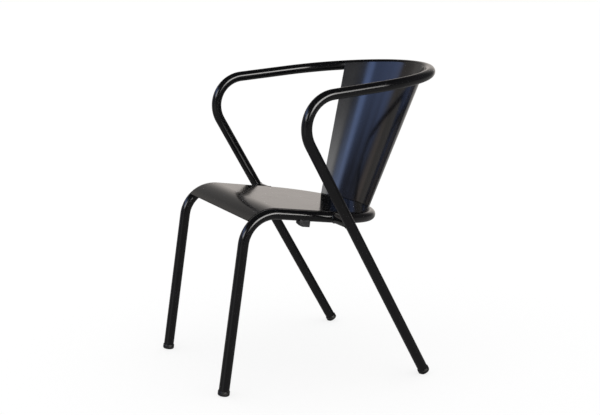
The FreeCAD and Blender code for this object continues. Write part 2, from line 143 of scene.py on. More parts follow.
def settle(piece: bpy.types.Object) -> bpy.types.Object:
    """Turn a piece's modifiers into its own plain mesh.

    Args:
        piece: The object with its modifiers.

    Returns:
        The same object, with no modifiers left.
    """
    bpy.context.view_layer.update()
    graph = bpy.context.evaluated_depsgraph_get()
    mesh = bpy.data.meshes.new_from_object(piece.evaluated_get(graph), depsgraph=graph)
    mesh.name = piece.name
    piece.modifiers.clear()
    piece.data = mesh
    return piece


def smooth_between(mesh: bpy.types.Mesh, degrees: float = 35.0) -> None:
    """Shade a mesh smooth, with hard edges where its faces turn more than an angle."""
    mesh.shade_smooth()
    mesh.set_sharp_from_angle(angle=math.radians(degrees))


def mesh_from(name: str, points: Sequence[Vector], faces: Sequence[Sequence[int]]) -> bpy.types.Mesh:
    """Make a mesh from points in millimetres.

    Args:
        name: The mesh's name.
        points: The corners, in millimetres.
        faces: Each face as places in the list of points.

    Returns:
        The mesh, in metres.
    """
    mesh = bpy.data.meshes.new(name)
    mesh.from_pydata([point * MM for point in points], [], faces)
    mesh.validate()
    mesh.update()
    return mesh


def grid_faces(rows: int, columns: int, closed: bool = False) -> list[tuple[int, int, int, int]]:
    """Faces of a grid of points that is stored row by row.

    Args:
        rows: How many rows of points there are.
        columns: How many points each row has.
        closed: Whether each row's last point joins its first.

    Returns:
        Four-cornered faces.
    """
    faces = []
    for row in range(rows - 1):
        for column in range(columns if closed else columns - 1):
            following = (column + 1) % columns
            here, above = row * columns, (row + 1) * columns
            faces.append((here + column, here + following, above + following, above + column))
    return faces


def capped_faces(rings: int, count: int) -> list[Sequence[int]]:
    """Faces of a closed form that is stored ring by ring.

    Args:
        rings: How many rings there are.
        count: How many points each ring has.

    Returns:
        The faces between the rings, and a cap on each end.
    """
    first, last = range(count), range((rings - 1) * count, rings * count)
    return [*grid_faces(rings, count, closed=True), tuple(reversed(first)), tuple(last)]


def spaced(count: int, margin: float = 0.005) -> list[float]:
    """Even shares from 0 to 1, with one more close to each end that keeps the edge's shading narrow.

    Args:
        count: How many even shares there are.
        margin: How far the extra ones lie from the ends.

    Returns:
        The shares in rising order.
    """
    inner = [step / (count - 1) for step in range(1, count - 1)]
    return [0.0, margin, *inner, 1 - margin, 1.0]


def turned_form(
    name: str, outline: Sequence[tuple[float, float]], place: Matrix, sides: int = 48
) -> bpy.types.Mesh:
    """Turn an outline about an axis into a closed form.

    Args:
        name: The mesh's name.
        outline: Radius and height of each ring, from one end to the other.
        place: Where the axis stands, with its Z along it.
        sides: How many sides the form gets.

    Returns:
        The closed mesh, in metres.
    """
    points = []
    for radius, height in outline:
        for step in range(sides):
            turn = 2 * math.pi * step / sides
            points.append(place @ Vector((radius * math.cos(turn), radius * math.sin(turn), height)))
    return mesh_from(name, points, capped_faces(len(outline), sides))


def round_edges(piece: bpy.types.Object, radius: float, least_turn: float) -> None:
    """Round a piece's edges and turn its modifiers into its mesh.

    Args:
        piece: The piece.
        radius: The edges' radius in millimetres.
        least_turn: The angle in degrees that two faces turn by where their edge is rounded.
    """
    edges = piece.modifiers.new("edges", "BEVEL")
    edges.width = radius * MM
    edges.segments = EDGE_SEGMENTS
    edges.limit_method = "ANGLE"
    edges.angle_limit = math.radians(least_turn)
    settle(piece)


def cut_away(piece: bpy.types.Object, tool: bpy.types.Mesh) -> bpy.types.Object:
    """Cut the form of a closed mesh out of a piece.

    Args:
        piece: The piece that is cut.
        tool: The form that is taken away.

    Returns:
        The same piece.
    """
    cutter = link_object("cutter", tool)
    cut = piece.modifiers.new("cut", "BOOLEAN")
    cut.operation = "DIFFERENCE"
    cut.solver = "EXACT"
    cut.object = cutter
    settle(piece)
    bpy.data.objects.remove(cutter)
    return piece


def mount(piece: bpy.types.Object, coat: Coat, *nodes: str) -> bpy.types.Object:
    """Let a finished piece ride on the chair and stand for its CAD nodes.

    Args:
        piece: The finished piece.
        coat: The material slot; not used.
        nodes: The CAD nodes that it stands for.

    Returns:
        The same piece.
    """
    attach(piece, BODY)
    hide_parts(*nodes)
    LOG.info("%s: %d faces", piece.name, len(piece.data.polygons))
    return piece


# Finishes


@dataclass(frozen=True)
class Finish:
    """A surface of two tones whose gloss varies in patches, over a fine relief.

    Widths and heights are in millimetres. A span is the part of the patches' noise
    over which the tone or the gloss changes from its first value to its second.
    """

    name: str
    colour: str
    patch_colour: str
    patch_width: float
    patch_detail: float
    roughness: tuple[float, float]
    patch_breakup: float = 0.5
    patch_share: float = 1.0
    tone_span: tuple[float, float] = (0.0, 1.0)
    gloss_span: tuple[float, float] = (0.0, 1.0)
    floor_reach: float = 0.0
    relief_width: float = 0.0
    relief_height: float = 0.0
    relief_detail: float = 2.0
    metallic: float = 0.0

    def patches(self, tree: bpy.types.NodeTree, place: bpy.types.NodeSocket) -> bpy.types.NodeSocket:
        """Noise that places the patches, kept near the floor where the finish says so.

        Args:
            tree: The material's tree.
            place: The point on the piece.

        Returns:
            The output that holds the noise.
        """
        noise = add_node(tree, "ShaderNodeTexNoise", {}, {
            "Vector": place, "Scale": 1 / (self.patch_width * MM),
            "Detail": self.patch_detail, "Roughness": self.patch_breakup}).outputs["Fac"]
        if not self.floor_reach:
            return noise
        height = add_node(tree, "ShaderNodeSeparateXYZ", {}, {0: place}).outputs["Z"]
        low = add_node(tree, "ShaderNodeMapRange", {}, {
            "Value": height, "From Min": self.floor_reach * MM, "From Max": 0.0})
        near = add_node(tree, "ShaderNodeMath", {"operation": "MULTIPLY"}, {0: low.outputs[0], 1: noise})
        return near.outputs[0]

    def make(self) -> bpy.types.Material:
        """Build the material.

        Returns:
            The procedural material.
        """
        material = bpy.data.materials.new(self.name)
        material.use_nodes = True
        tree = material.node_tree
        shader = tree.nodes["Principled BSDF"]
        shader.inputs["Metallic"].default_value = self.metallic
        place = add_node(tree, "ShaderNodeTexCoord").outputs["Object"]
        patches = self.patches(tree, place)
        share = add_node(tree, "ShaderNodeMapRange", {}, {
            "Value": patches, "From Min": self.tone_span[0], "From Max": self.tone_span[1],
            "To Max": self.patch_share})
        tone = add_node(tree, "ShaderNodeMix", {"data_type": "RGBA"}, {
            0: share.outputs[0], 6: linear(self.colour), 7: linear(self.patch_colour)})
        gloss = add_node(tree, "ShaderNodeMapRange", {}, {
            "Value": patches, "From Min": self.gloss_span[0], "From Max": self.gloss_span[1],
            "To Min": self.roughness[0], "To Max": self.roughness[1]})
        tree.links.new(tone.outputs[2], shader.inputs["Base Color"])
        tree.links.new(gloss.outputs[0], shader.inputs["Roughness"])
        if self.relief_height:
            relief = add_node(tree, "ShaderNodeTexNoise", {}, {
                "Vector": place, "Scale": 1 / (self.relief_width * MM), "Detail": self.relief_detail})
            bump = add_node(tree, "ShaderNodeBump", {}, {
                "Height": relief.outputs["Fac"], "Distance": self.relief_height * MM})
            tree.links.new(bump.outputs[0], shader.inputs["Normal"])
        return material


@dataclass(frozen=True)
class PowderCoat(Finish):
    """Black powder coat on steel, sprayed on dry and baked until it flows together.

    To the eye it is a deep, faintly blue black under a smooth gloss, with a fine
    orange-peel ripple, about 2 mm wide, that softens what it mirrors, and a little dust on it.
    """

    colour: str = "#0A0A0C"
    patch_colour: str = "#3A3936"
    patch_width: float = 60.0
    patch_detail: float = 5.0
    patch_breakup: float = 0.6
    patch_share: float = 0.04
    tone_span: tuple[float, float] = (0.4, 0.75)
    gloss_span: tuple[float, float] = (0.3, 0.7)
    roughness: tuple[float, float] = (0.12, 0.16)
    relief_width: float = 2.2
    relief_height: float = 0.004
    relief_detail: float = 1.0


@dataclass(frozen=True)
class MouldedPlastic(Finish):
    """Black polyethylene, injection moulded in a spark-eroded tool.

    It is a dull, slightly grey black with a fine pebble, scuffed paler where it meets the floor.
    A real pebble is about 0.1 mm wide, too fine to show, so it is drawn about six times coarser.
    """

    name: str = "moulded_black_polyethylene"
    colour: str = "#0C0C0C"
    patch_colour: str = "#4A4845"
    patch_width: float = 2.5
    patch_detail: float = 4.0
    patch_share: float = 0.3
    roughness: tuple[float, float] = (0.5, 0.59)
    floor_reach: float = 5.0
    relief_width: float = 0.6
    relief_height: float = 0.01


@dataclass(frozen=True)
class MouldedRubber(Finish):
    """Black rubber, press moulded: dull, with a grey bloom in patches and without any mirror.

    The mould's grain on it is about 0.05 mm wide, too fine to show, so it is drawn about
    ten times coarser.
    """

    name: str = "moulded_black_rubber"
    colour: str = "#101011"
    patch_colour: str = "#2E2E30"
    patch_width: float = 4.0
    patch_detail: float = 6.0
    roughness: tuple[float, float] = (0.54, 0.74)
    relief_width: float = 0.5556
    relief_height: float = 0.04


@dataclass(frozen=True)
class ZincPlate(Finish):
    """Bright zinc plate on a steel screw: silver with a faint yellow cast and cloudy gloss.

    The clouds are about a millimetre wide, on a screw head of 8 mm.
    """

    name: str = "zinc_plated_steel"
    colour: str = "#B9B7AE"
    patch_colour: str = "#8E8C84"
    patch_width: float = 1.1111
    patch_detail: float = 4.0
    roughness: tuple[float, float] = (0.24, 0.42)
    metallic: float = 1.0


# Geometry trees


def new_geometry_tree(
    name: str, inputs: Sequence[tuple[str, str, object]]
) -> tuple[bpy.types.NodeTree, Sockets]:
    """Start a geometry tree with named inputs.

    Args:
        name: The tree's name.
        inputs: Name, socket type and default of each input after the geometry.

    Returns:
        The tree, and its input sockets by name.
    """
    tree = bpy.data.node_groups.new(name, "GeometryNodeTree")
    tree.interface.new_socket("Geometry", in_out="INPUT", socket_type="NodeSocketGeometry")
    tree.interface.new_socket("Geometry", in_out="OUTPUT", socket_type="NodeSocketGeometry")
    for label, kind, default in inputs:
        socket = tree.interface.new_socket(label, in_out="INPUT", socket_type=kind)
        if default is not None:
            socket.default_value = default
    start = add_node(tree, "NodeGroupInput")
    return tree, {socket.name: socket for socket in start.outputs if socket.name}


def end_geometry_tree(
    tree: bpy.types.NodeTree, shape: bpy.types.NodeSocket, material: bpy.types.NodeSocket
) -> None:
    """Close a tree: smooth, realized and with its material set.

    Args:
        tree: The tree to close.
        shape: The finished geometry.
        material: The input that holds the material.
    """
    smooth = add_node(tree, "GeometryNodeSetShadeSmooth", {}, {"Geometry": shape})
    real = add_node(tree, "GeometryNodeRealizeInstances", {}, {"Geometry": smooth.outputs[0]})
    dressed = add_node(tree, "GeometryNodeSetMaterial", {}, {
        "Geometry": real.outputs[0], "Material": material})
    add_node(tree, "NodeGroupOutput", {}, {0: dressed.outputs[0]})


def grow(
    name: str, guide: bpy.types.Mesh, tree: bpy.types.NodeTree, values: Mapping[str, object]
) -> bpy.types.Object:
    """Run a geometry tree on a guide mesh and keep the result as a plain mesh.

    Args:
        name: The new piece's name.
        guide: The mesh that the tree starts from.
        tree: The geometry tree.
        values: The tree's inputs by name.

    Returns:
        The piece, with no modifier left.
    """
    piece = link_object(name, guide)
    modifier = piece.modifiers.new("grow", "NODES")
    modifier.node_group = tree
    places = {item.name: item.identifier for item in tree.interface.items_tree if item.in_out == "INPUT"}
    for label, value in values.items():
        modifier[places[label]] = value
    return settle(piece)


def guide_lines(name: str, paths: Sequence[Path], closed: bool = False) -> bpy.types.Mesh:
    """Make lines of edges for a geometry tree to follow.

    Args:
        name: The mesh's name.
        paths: Lines of points in millimetres, each point with the radius that rounds it.
        closed: Whether each line's last point joins its first.

    Returns:
        A mesh of edges with the attribute bend_radius.
    """
    edges, first = [], 0
    for path in paths:
        count = len(path)
        steps = range(count if closed else count - 1)
        edges += [(first + step, first + (step + 1) % count) for step in steps]
        first += count
    mesh = bpy.data.meshes.new(name)
    mesh.from_pydata([point * MM for path in paths for point, _ in path], edges, [])
    rounding = mesh.attributes.new("bend_radius", "FLOAT", "POINT")
    rounding.data.foreach_set("value", [radius * MM for path in paths for _, radius in path])
    return mesh


def bent_tube_tree() -> bpy.types.NodeTree:
    """Tree that bends a round tube along a line with rounded corners.

    Returns:
        The geometry tree.
    """
    tree, inputs = new_geometry_tree("bent_tube", [
        ("Tube Radius", "NodeSocketFloat", 12.5 * MM),
        ("Ring Spacing", "NodeSocketFloat", 5 * MM),
        ("Sides", "NodeSocketInt", 40),
        ("Bend Steps", "NodeSocketInt", 90),
        ("Coating", "NodeSocketMaterial", None),
    ])
    line = add_node(tree, "GeometryNodeMeshToCurve", {}, {"Mesh": inputs["Geometry"]})
    radius = add_node(tree, "GeometryNodeInputNamedAttribute", {"data_type": "FLOAT"}, {
        "Name": "bend_radius"})
    bends = add_node(tree, "GeometryNodeFilletCurve", {"mode": "POLY"}, {
        "Curve": line.outputs[0], "Radius": radius.outputs[0], "Count": inputs["Bend Steps"]})
    rings = add_node(tree, "GeometryNodeResampleCurve", {"mode": "LENGTH"}, {
        "Curve": bends.outputs[0], "Length": inputs["Ring Spacing"]})
    section = add_node(tree, "GeometryNodeCurvePrimitiveCircle", {}, {
        "Resolution": inputs["Sides"], "Radius": inputs["Tube Radius"]})
    swept = add_node(tree, "GeometryNodeCurveToMesh", {}, {
        "Curve": rings.outputs[0], "Profile Curve": section.outputs[0]})
    end_geometry_tree(tree, swept.outputs[0], inputs["Coating"])
    return tree


def weld_bead_tree() -> bpy.types.NodeTree:
    """Tree that lays a rippled weld bead along a line.

    Returns:
        The geometry tree.
    """
    tree, inputs = new_geometry_tree("weld_bead", [
        ("Bead Radius", "NodeSocketFloat", 2 * MM),
        ("Ripple Pitch", "NodeSocketFloat", 1.8 * MM),
        ("Ripple Depth", "NodeSocketFloat", 0.14),
        ("Tapered Ends", "NodeSocketFloat", 1.0),
        ("Seed", "NodeSocketInt", 1),
        ("Coating", "NodeSocketMaterial", None),
    ])
    line = add_node(tree, "GeometryNodeMeshToCurve", {}, {"Mesh": inputs["Geometry"]})
    step = add_node(tree, "ShaderNodeMath", {"operation": "DIVIDE"}, {
        0: inputs["Ripple Pitch"], 1: float(RINGS_PER_RIPPLE)})
    rings = add_node(tree, "GeometryNodeResampleCurve", {"mode": "LENGTH"}, {
        "Curve": line.outputs[0], "Length": step.outputs[0]})
    along = add_node(tree, "GeometryNodeSplineParameter").outputs["Length"]
    whole = add_node(tree, "GeometryNodeSplineLength").outputs["Length"]
    count = add_node(tree, "ShaderNodeMath", {"operation": "DIVIDE"}, {0: along, 1: inputs["Ripple Pitch"]})
    ripple = add_node(tree, "ShaderNodeMath", {"operation": "FRACT"}, {0: count.outputs[0]})
    number = add_node(tree, "ShaderNodeMath", {"operation": "FLOOR"}, {0: count.outputs[0]})
    uneven = add_node(tree, "FunctionNodeRandomValue", {"data_type": "FLOAT"}, {
        2: 1 - RIPPLE_UNEVENNESS, 3: 1 + RIPPLE_UNEVENNESS, "ID": number.outputs[0], "Seed": inputs["Seed"]})
    dip = add_node(tree, "ShaderNodeMath", {"operation": "MULTIPLY"}, {
        0: ripple.outputs[0], 1: inputs["Ripple Depth"]})
    swell = add_node(tree, "ShaderNodeMath", {"operation": "SUBTRACT"}, {0: 1.0, 1: dip.outputs[0]})
    rough = add_node(tree, "ShaderNodeMath", {"operation": "MULTIPLY"}, {
        0: swell.outputs[0], 1: uneven.outputs[1]})
    rest = add_node(tree, "ShaderNodeMath", {"operation": "SUBTRACT"}, {0: whole, 1: along})
    nearest = add_node(tree, "ShaderNodeMath", {"operation": "MINIMUM"}, {0: along, 1: rest.outputs[0]})
    share = add_node(tree, "ShaderNodeMath", {"operation": "DIVIDE", "use_clamp": True}, {
        0: nearest.outputs[0], 1: inputs["Bead Radius"]})
    rounded = add_node(tree, "ShaderNodeMath", {"operation": "POWER"}, {0: share.outputs[0], 1: 0.5})
    ending = add_node(tree, "ShaderNodeMapRange", {}, {
        "Value": inputs["Tapered Ends"], "To Min": 1.0, "To Max": rounded.outputs[0]})
    scale = add_node(tree, "ShaderNodeMath", {"operation": "MULTIPLY"}, {
        0: rough.outputs[0], 1: ending.outputs[0]})
    section = add_node(tree, "GeometryNodeCurvePrimitiveCircle", {}, {
        "Resolution": BEAD_SIDES, "Radius": inputs["Bead Radius"]})
    swept = add_node(tree, "GeometryNodeCurveToMesh", {}, {
        "Curve": rings.outputs[0], "Profile Curve": section.outputs[0],
        "Scale": scale.outputs[0], "Fill Caps": True})
    end_geometry_tree(tree, swept.outputs[0], inputs["Coating"])
    return tree


# The two bent tubes


@dataclass(frozen=True)
class Hoop:
    """The tilted plane of a tube's rear hoop and the runs in it, in millimetres and degrees."""

    radius: float
    rear: float
    height: float
    tilt: float
    splay: float
    run: float

    def matrix(self) -> Matrix:
        """Place of the hoop's plane.

        Returns:
            A matrix with its origin at the hoop's centre, Y to the rear and Z square to the plane.
        """
        turn = Matrix.Rotation(math.radians(self.tilt), 4, "X")
        centre = Vector((0, self.rear, self.height)) - turn @ Vector((0, self.radius, 0))
        return Matrix.Translation(centre) @ turn

    def polar(self, radius: float, angle: float, height: float = 0.0) -> Vector:
        """Point by its radius, its angle from the hoop's rear and its height over the plane."""
        turn = math.radians(angle)
        return self.matrix() @ Vector((radius * math.sin(turn), radius * math.cos(turn), height))

    def corner(self, side: Side) -> Vector:
        """Corner where the run and the leg would meet.

        Args:
            side: The chair's side.

        Returns:
            The corner in millimetres.
        """
        splay = math.radians(self.splay)
        across = self.radius * math.cos(splay) + self.run * math.sin(splay)
        along = self.radius * math.sin(splay) - self.run * math.cos(splay)
        return self.matrix() @ Vector((side.value * across, along, 0))

    def rear_corner(self, side: Side) -> Vector:
        """Corner where the run and the hoop's rear tangent would meet."""
        half = math.radians(90 - self.splay) / 2
        return self.matrix() @ Vector((side.value * self.radius * math.tan(half), self.radius, 0))

    def beside_run(self, side: Side, forward: float, inward: float, height: float) -> Vector:
        """Point beside a straight run of the tube.

        Args:
            side: The chair's side.
            forward: Its distance forward from the hoop's end.
            inward: Its distance inside the tube's axis.
            height: Its height over the hoop's plane.

        Returns:
            The point in millimetres.
        """
        splay = math.radians(self.splay)
        across = (self.radius - inward) * math.cos(splay) + forward * math.sin(splay)
        along = (self.radius - inward) * math.sin(splay) - forward * math.cos(splay)
        return self.matrix() @ Vector((side.value * across, along, height))

    def run_place(self, side: Side, rearward: float) -> Matrix:
        """Place on the run's axis at a Y of the chair.

        Args:
            side: The chair's side.
            rearward: The chair's Y in millimetres.

        Returns:
            A matrix with its Y to the rear along the run and its Z square to the hoop's plane.
        """
        corner = self.corner(side)
        along = (self.beside_run(side, 0, 0, 0) - corner).normalized()
        upward = self.matrix().to_3x3() @ Vector((0, 0, 1))
        turn = Matrix((along.cross(upward), along, upward)).transposed().to_4x4()
        return Matrix.Translation(corner + along * ((rearward - corner.y) / along.y)) @ turn


@dataclass(frozen=True)
class BentTube:
    """A welded steel tube, cold bent from one foot round the rear to the other foot."""

    node: str
    hoop: Hoop
    foot_x: float
    foot_y: float
    glide_start: float
    glide_head: float = 12.0
    diameter: float = 25.0
    wall: float = 1.5
    bend_radius: float = 75.0

    def foot(self, side: Side) -> Vector:
        """Point where the leg's axis meets the floor."""
        return Vector((side.value * self.foot_x, self.foot_y, 0))

    def leg(self, side: Side) -> Vector:
        """Unit vector up the leg's axis."""
        return (self.hoop.corner(side) - self.foot(side)).normalized()

    def glide_place(self, side: Side) -> Matrix:
        """Place of the foot glide: origin at its end face, Z up the leg's axis."""
        base = self.foot(side) + self.leg(side) * self.glide_start
        return Matrix.Translation(base) @ self.leg(side).to_track_quat("Z", "Y").to_matrix().to_4x4()

    def path(self) -> Path:
        """Centreline of the whole tube.

        Returns:
            Its corners from foot to foot, each with the radius that rounds it.
        """
        halves = []
        for side in Side:
            tip = self.foot(side) + self.leg(side) * (self.glide_start + self.glide_head)
            halves.append([(tip, 0.0), (self.hoop.corner(side), self.bend_radius),
                           (self.hoop.rear_corner(side), self.hoop.radius)])
        return halves[0] + halves[1][::-1]

    def build(self, tree: bpy.types.NodeTree, coating: bpy.types.Material) -> bpy.types.Object:
        """Sweep the tube, give it its wall and let it stand for its CAD node.

        Args:
            tree: The bent tube tree.
            coating: The tube's finish.

        Returns:
            The finished tube.
        """
        piece = grow(f"{self.node}_swept", guide_lines(self.node, [self.path()]), tree, {
            "Tube Radius": self.diameter / 2 * MM, "Coating": coating})
        wall = piece.modifiers.new("wall", "SOLIDIFY")
        wall.thickness = self.wall * MM
        wall.offset = -1
        settle(piece)
        smooth_between(piece.data)
        return mount(piece, Coat.TUBE, self.node)


# The two sheets


@dataclass(frozen=True)
class SeatSheet:
    """Steel sheet laid on the seat hoop and rolled over the front bends."""

    hoop: Hoop
    tube: BentTube
    gauge: float = 1.5
    inset: float = 4.0
    wrap: float = 52.0
    edge_round: float = 0.45
    columns: int = 33
    rear_rows: int = 24
    flat_rows: int = 10
    roll_rows: int = 22

    def under(self) -> float:
        """Height over the hoop's plane where the sheet rests on the tube."""
        return math.sqrt((self.tube.diameter / 2) ** 2 - self.inset ** 2)

    def top(self) -> float:
        """Height of the sheet's upper face over the hoop's plane."""
        return self.under() + self.gauge

    def bend_start(self) -> float:
        """Where the front bend starts.

        Returns:
            Its distance forward from the hoop's centre.
        """
        corner = self.hoop.corner(Side.LEFT)
        to_leg = -self.tube.leg(Side.LEFT)
        to_rear = (self.hoop.rear_corner(Side.LEFT) - corner).normalized()
        reach = self.tube.bend_radius / math.tan(to_leg.angle(to_rear) / 2)
        return -(self.hoop.matrix().inverted() @ (corner + to_rear * reach)).y

    def half_width(self, along: float) -> float:
        """Half the sheet's width.

        Args:
            along: Where, as a distance behind the hoop's centre.

        Returns:
            The half width in millimetres.
        """
        radius = self.hoop.radius - self.inset
        splay = math.radians(self.hoop.splay)
        if along > radius * math.sin(splay):
            return math.sqrt(max(radius ** 2 - along ** 2, 0))
        return radius * math.cos(splay) + (radius * math.sin(splay) - along) * math.tan(splay)

    def rows(self) -> list[tuple[float, float]]:
        """Rows of the sheet's upper face, from the rear to the front.

        Returns:
            Each row's distance behind the hoop's centre and its height over the hoop's plane.
        """
        radius = self.hoop.radius - self.inset
        top, start, turn = self.top(), self.bend_start(), self.tube.bend_radius
        rows = [(radius * math.sin(math.radians(90 * (1 - row / self.rear_rows))), top)
                for row in range(1, self.rear_rows + 1)]
        rows += [(-start * row / self.flat_rows, top) for row in range(1, self.flat_rows + 1)]
        for row in range(1, self.roll_rows + 1):
            angle = math.radians(self.wrap * row / self.roll_rows)
            rows.append((-start - (turn + top) * math.sin(angle), (turn + top) * math.cos(angle) - turn))
        return rows

    def build(self, coating: bpy.types.Material) -> bpy.types.Object:
        """Lay the sheet out row by row, give it its gauge and round its edges.

        Args:
            coating: The seat's finish.

        Returns:
            The finished seat sheet.
        """
        place = self.hoop.matrix()
        rows, shares = self.rows(), spaced(self.columns)
        points = []
        for along, height in rows:
            half = self.half_width(along)
            points += [place @ Vector((half * (1 - 2 * across), along, height)) for across in shares]
        faces = grid_faces(len(rows), len(shares))
        points.append(place @ Vector((0, self.hoop.radius - self.inset, self.top())))
        faces += [(column + 1, column, len(points) - 1) for column in range(len(shares) - 1)]
        piece = link_object("seat_sheet_pressed", mesh_from("seat_sheet_pressed", points, faces))
        return finish_sheet(piece, self.gauge, self.edge_round, coating, Coat.SEAT, "seat_sheet")


def finish_sheet(
    piece: bpy.types.Object, gauge: float, edge_round: float,
    coating: bpy.types.Material, coat: Coat, node: str
) -> bpy.types.Object:
    """Give a sheet its gauge below its face, round its edges and mount it.

    Args:
        piece: The sheet's outer face.
        gauge: Its thickness in millimetres.
        edge_round: Radius of the rounded edges in millimetres.
        coating: Its finish.
        coat: The material slot.
        node: The CAD node that it stands for.

    Returns:
        The finished sheet.
    """
    piece.data.materials.append(coating)
    wall = piece.modifiers.new("gauge", "SOLIDIFY")
    wall.thickness = gauge * MM
    wall.offset = -1
    round_edges(piece, edge_round, 50)
    smooth_between(piece.data, 40)
    return mount(piece, coat, node)


@dataclass(frozen=True)
class BackSheet:
    """Conical steel sheet from its top edge inside the arm hoop down to the seat."""

    arm: Hoop
    seat: Hoop
    foot_height: float
    gauge: float = 1.5
    top_radius: float = 245.5
    above: float = 8.0
    top_span: float = 100.2
    foot_span: float = 85.6
    foot_radius: float = 181.0
    edge_round: float = 0.45
    columns: int = 97
    rows: int = 25

    def ruling(self, share: float) -> list[Vector]:
        """Points down the sheet's outer face at a share of its width.

        Args:
            share: From -1 at one side edge to 1 at the other.

        Returns:
            Points from the top edge to the foot.
        """
        top = self.arm.polar(self.top_radius, share * self.top_span / 2, self.above)
        foot = self.seat.polar(self.foot_radius, share * self.foot_span / 2, self.foot_height)
        return [top.lerp(foot, down) for down in spaced(self.rows)]

    def build(self, coating: bpy.types.Material) -> bpy.types.Object:
        """Rule the sheet from its top edge to its foot, give it its gauge and round its edges.

        Args:
            coating: The back's finish.

        Returns:
            The finished back sheet.
        """
        lines = [self.ruling(1 - 2 * across) for across in spaced(self.columns)]
        points = [point for line in lines for point in line]
        piece = link_object("backrest_sheet_pressed", mesh_from(
            "backrest_sheet_pressed", points, grid_faces(len(lines), len(lines[0]))))
        return finish_sheet(piece, self.gauge, self.edge_round, coating, Coat.BACK, "backrest_sheet")


# Foot glides


@dataclass(frozen=True)
class FootGlides:
    """Moulded glides, one pressed into the end of each leg."""

    tubes: Mapping[str, BentTube]
    radius: float = 14.0
    head: float = 12.0
    dimple: tuple[tuple[float, float], ...] = ((6.0, 0.6), (6.6, 0.0))
    rounding: float = 4.0
    rounding_steps: int = 8
    shoulder: float = 0.8
    shoulder_inward: float = 0.3
    shoulder_drop: float = 0.25
    stem: float = 26.0
    stem_radius: float = 9.0
    bore: float = 11.0
    rib: float = 2.5
    ribs: int = 4
    sides: int = 64

    def outline(self) -> list[tuple[float, float]]:
        """Outline of the turned form.

        Returns:
            Radius and height of each ring, from its dimpled end face up to its stem's tip.
        """
        line = list(self.dimple)
        for step in range(self.rounding_steps + 1):
            angle = math.radians(90 * step / self.rounding_steps)
            line.append((self.radius - self.rounding * (1 - math.sin(angle)),
                         self.rounding * (1 - math.cos(angle))))
        line += [(self.radius, self.head - self.shoulder),
                 (self.radius - self.shoulder_inward, self.head - self.shoulder_drop),
                 (self.radius - self.shoulder, self.head), (self.stem_radius, self.head)]
        for rib in range(self.ribs):
            foot = self.head + (1 + 2 * rib) * self.rib
            line += [(self.stem_radius, foot), (self.bore, foot), (self.bore, foot + self.rib),
                     (self.stem_radius, foot + self.rib)]
        line.append((self.stem_radius, self.head + self.stem))
        return line

    def build(self, plastic: bpy.types.Material) -> list[bpy.types.Object]:
        """Turn the four glides and cut their end faces to the floor.

        Args:
            plastic: The glides' material.

        Returns:
            The finished glides.
        """
        pieces = []
        for place_name, tube in self.tubes.items():
            for side in Side:
                node = f"{place_name}_{side.word}_foot_glide"
                mesh = turned_form(node, self.outline(), tube.glide_place(side), self.sides)
                for corner in mesh.vertices:
                    corner.co.z = max(corner.co.z, 0.0)
                piece = link_object(f"{node}_moulded", mesh)
                piece.data.materials.append(plastic)
                smooth_between(piece.data, 30)
                pieces.append(mount(piece, Coat.GLIDE, node))
        return pieces


# Links and welds


@dataclass(frozen=True)
class Links:
    """Short tubes between the seat's rails and the rear legs, coped to both."""

    merge: float = 0.01

    def build(self, coating: bpy.types.Material) -> list[bpy.types.Object]:
        """Copy the coped tubes, join their facets and coat them.

        Args:
            coating: The tubes' finish.

        Returns:
            The finished links.
        """
        pieces = []
        for side in Side:
            node = f"link_tube_{side.word}"
            piece = link_object(f"{node}_coped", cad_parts[node].data.copy())
            shape = bmesh.new()
            shape.from_mesh(piece.data)
            bmesh.ops.remove_doubles(shape, verts=shape.verts, dist=self.merge * MM)
            shape.to_mesh(piece.data)
            shape.free()
            piece.data.materials.clear()
            piece.data.materials.append(coating)
            smooth_between(piece.data, 30)
            pieces.append(mount(piece, Coat.TUBE, node))
        return pieces


